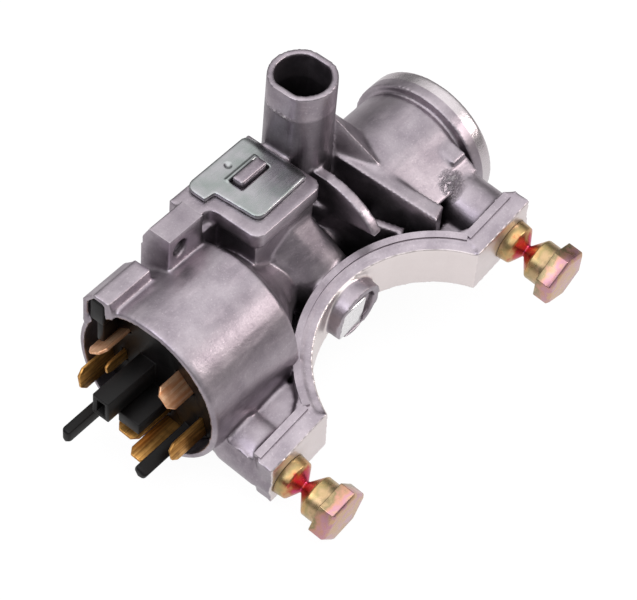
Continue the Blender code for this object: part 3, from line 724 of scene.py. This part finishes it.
# %% Pins and latch tongue
def select_faces(piece, wanted):
    """Select the faces whose centre and normal, in mm, pass a test, and open edit mode on them."""
    select_only(piece)
    bpy.context.tool_settings.mesh_select_mode = (False, False, True)
    bpy.ops.object.mode_set(mode="EDIT")
    bpy.ops.mesh.select_all(action="DESELECT")
    bpy.ops.object.mode_set(mode="OBJECT")
    hits = 0
    for face in piece.data.polygons:
        face.select = wanted(face.center / MM, face.normal)
        hits += face.select
    bpy.ops.object.mode_set(mode="EDIT")
    return hits


switch_base = merged_copy("switch_base", "switch_base_dressed")
ends = select_faces(switch_base, lambda at, out: at.x < -61.0 and out.x < -0.9)
bpy.ops.mesh.bevel(offset=0.9 * MM, segments=4, affect="EDGES")
bpy.ops.object.mode_set(mode="OBJECT")
dress("switch_base", black_nylon, 0.25, 2, switch_base)


def make_tongue():
    piece = block((-50.7, 57.2, 10.6), (-45.6, 61.4, 17.6), Matrix.Identity(4), 0.5)
    neck = block((-49.6, 58.2, 3.0), (-44.9, 60.2, 11.6), Matrix.Identity(4), 0.3)
    select_only(piece)
    neck.select_set(True)
    bpy.ops.object.join()
    piece.name = piece.data.name = "latch_tongue"
    smooth(piece, 40)
    piece.data.materials.clear()
    piece.data.materials.append(black_nylon)
    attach(piece, "casting")


make_tongue()
print("pin ends rounded:", ends)

# %% [markdown]
# ## The cover plate
# The plate is blanked from sheet, slipped over the cast tab, and its right edge is pressed down
# over the block. A blank has no points to bend, so it is first remeshed to a fine even grid, and
# each point then drops by an amount that grows towards the edge. A punch mark near the slot
# is a small round dent.

# %% Cover plate
def make_plate():
    piece = merged_copy("cover_plate", "cover_plate_dressed")
    select_only(piece)
    bpy.context.tool_settings.mesh_select_mode = (False, True, False)
    bpy.ops.object.mode_set(mode="EDIT")
    bpy.ops.mesh.select_all(action="DESELECT")
    bpy.ops.object.mode_set(mode="OBJECT")
    for edge in piece.data.edges:
        a, b = (piece.data.vertices[i].co / MM for i in edge.vertices)
        edge.select = abs(a.z - b.z) > 0.9 and (a.x > 5.0 or a.x < -16.6) and a.y > 62.8
    bpy.ops.object.mode_set(mode="EDIT")
    bpy.ops.mesh.bevel(offset=2.6 * MM, segments=8, affect="EDGES")
    bpy.ops.object.mode_set(mode="OBJECT")
    apply_modifier(piece, "REMESH", mode="VOXEL", voxel_size=0.24 * MM, adaptivity=0.0)
    apply_modifier(piece, "SMOOTH", factor=0.5, iterations=2)
    for vertex in piece.data.vertices:
        at = vertex.co / MM
        edge_drop = 0.13 * max(at.x - 2.4, 0.0) ** 2 + 0.16 * max(at.y - 62.6, 0.0) ** 2
        dent = 0.4 * max(1 - ((at.x + 5.6) ** 2 + (at.y - 60.2) ** 2) / 1.0, 0.0)
        lip = 0.35 * max(1 - abs(at.y - 57.4) / 0.8, 0.0) * (1 if -9.6 < at.x < 1.0 else 0)
        vertex.co.z += (lip - edge_drop - dent) * MM
    smooth(piece, 50)
    piece.data.materials.clear()
    piece.data.materials.append(plated_sheet)
    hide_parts("cover_plate")
    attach(piece, "casting")
    return piece


plate = make_plate()
print("plate faces:", len(plate.data.polygons))

# %% [markdown]
# ## The lock bolt's end
# The bolt is a hardened bar, ground bright, that springs into a slot in the steering shaft. Its
# end stands almost flush in the round eye of the saddle, with dark gaps at the round corners.

# %% Lock bolt
END_FROM_Y = -16.5               # the bolt's end lies past this, in the bolt's frame, mm
END_REACH = 1.9                  # how far it stands out beyond the CAD's, mm
lock_end = dress("lock_bolt", ground_steel, 0.5, 3)
to_bolt = (Matrix.Scale(MM, 4) @ bolt_frame).inverted()
for vertex in lock_end.data.vertices:
    if (to_bolt @ vertex.co).y < END_FROM_Y:
        vertex.co += bolt_frame.to_3x3() @ Vector((0, -END_REACH, 0)) * MM
print("lock bolt faces:", len(lock_end.data.polygons))

# %% [markdown]
# ## The shear bolts
# A shear bolt is turned from hexagon bar. Its thin neck snaps when it is tight enough, so the
# head comes off and the lock can't be taken off again. The film attribute runs from 0 in the
# neck to 1 on the hexagon's outer face.

# %% Shear bolts
NECK_Y = 10.5 + 0.15 - 5.1       # in the saddle's frame: clamp face and gap, less the way to the neck, mm
FILM_REACH = 12.0                # from the neck to the hexagon's outer face, mm


def dress_bolt(node):
    piece = dress(node, chromate, 0.22)
    count = len(piece.data.vertices)
    points = np.empty(count * 3)
    piece.data.vertices.foreach_get("co", points)
    along = np.array(saddle.inverted())[:3, :3] @ (points.reshape(-1, 3).T / MM)
    store(piece, "film", np.clip(np.abs(along[1] - NECK_Y) / FILM_REACH, 0, 1))


for side in ("left", "right"):
    dress_bolt("shear_bolt_" + side)

# %% [markdown]
# ## Pieces that keep their CAD shape
# The springs, the cam, the contact bridges and the small screw sit deep inside. Their CAD shapes
# are already right, so they only take a finish.

# %% Finishes of the inner pieces
for node, finish in (("start_return_spring", spring_wire), ("bolt_spring", spring_wire),
                     ("catch_spring", spring_wire), ("catch_plunger", ground_steel),
                     ("lock_cam", ground_steel), ("contact_bridge_a", copper_strip),
                     ("contact_bridge_b", copper_strip), ("switch_grub_screw", spring_wire)):
    inner = frame["nodes"][node]
    for slot in inner.material_slots:
        slot.material = finish

# %% [markdown]
# ## Stage: floor, light and world
# The photograph was taken in a white light tent, lit from above. Metal shows what is around it,
# so the world is dim to the sides and grows bright overhead: tops shine and sides stay grey. Two
# large soft lamps shape the round forms. The floor shows white to the camera but still takes
# some of the object's shadow, and metal sees it glow near the object and fade further out.

# %% Floor, lamps and world
def make_floor():
    bpy.ops.object.select_all(action="DESELECT")
    bpy.ops.mesh.primitive_plane_add(size=6.0, location=(0, 0, 0))
    floor = bpy.context.object
    floor.name = "floor"
    floor.data.transform(Matrix.Translation((0, 0, cad_box[0][2] - 0.0005)))
    finish, shader = new_finish("pale_paper", "#b4b1b2", 0.0, 0.9)
    rays = add(finish, "ShaderNodeLightPath")
    where = add(finish, "ShaderNodeTexCoord")
    reach = add(finish, "ShaderNodeVectorMath", {0: where.outputs["Object"]}, operation="LENGTH")
    near = span(finish, reach.outputs["Value"], 0.07, 0.22, 0.7, 0.12)
    mirrored = add(finish, "ShaderNodeMath", {0: rays.outputs["Is Glossy Ray"], 1: near},
                   operation="MULTIPLY")
    seen = add(finish, "ShaderNodeMath", {0: rays.outputs["Is Camera Ray"]}, operation="MULTIPLY")
    seen.inputs[1].default_value = 0.85
    share = add(finish, "ShaderNodeMath", {0: seen.outputs[0], 1: mirrored.outputs[0]}, operation="MAXIMUM")
    glow = add(finish, "ShaderNodeEmission", Strength=1.12)
    blend = add(finish, "ShaderNodeMixShader",
                {0: share.outputs[0], 1: shader.outputs[0], 2: glow.outputs[0]})
    link(finish, blend.outputs[0], finish.node_tree.nodes["Material Output"].inputs["Surface"])
    floor.data.materials.append(finish)


def add_lamp(name, place_mm, size_mm, power, colour):
    light = bpy.data.lights.new(name, "AREA")
    light.shape = "DISK"
    light.size = size_mm * MM
    light.energy = power
    light.color = linear(colour)[:3]
    lamp = bpy.data.objects.new(name, light)
    lamp.location = Vector(place_mm) * MM
    lamp.rotation_euler = (Vector((0, 35, 0)) * MM - lamp.location).to_track_quat("-Z", "Y").to_euler()
    bpy.context.scene.collection.objects.link(lamp)


WORLD_RISE = (0.36, 0.95, 0.20, 1.85)     # from one height to another, from dim to bright


def make_world():
    world = bpy.data.worlds.new("light_tent")
    bpy.context.scene.world = world
    world.use_nodes = True
    nodes, links = world.node_tree.nodes, world.node_tree.links
    background = nodes["Background"]
    where = nodes.new("ShaderNodeTexCoord")
    split = nodes.new("ShaderNodeSeparateXYZ")
    links.new(where.outputs["Generated"], split.inputs[0])
    height = nodes.new("ShaderNodeMapRange")
    links.new(split.outputs["Z"], height.inputs["Value"])
    for socket, value in zip(height.inputs[1:5], WORLD_RISE):
        socket.default_value = value
    rays = nodes.new("ShaderNodeLightPath")
    seen = nodes.new("ShaderNodeMix")
    links.new(rays.outputs["Is Camera Ray"], seen.inputs["Factor"])
    links.new(height.outputs["Result"], seen.inputs[2])
    seen.inputs[3].default_value = 1.0
    links.new(seen.outputs[0], background.inputs["Strength"])
    background.inputs["Color"].default_value = linear("#ffffff")


make_floor()
add_lamp("key", (420, -420, 360), 200, 1.15, "#fff6f2")
add_lamp("fill", (-450, 150, 420), 380, 0.9, "#f3f4ff")
make_world()
bpy.context.scene.view_settings.view_transform = "Standard"
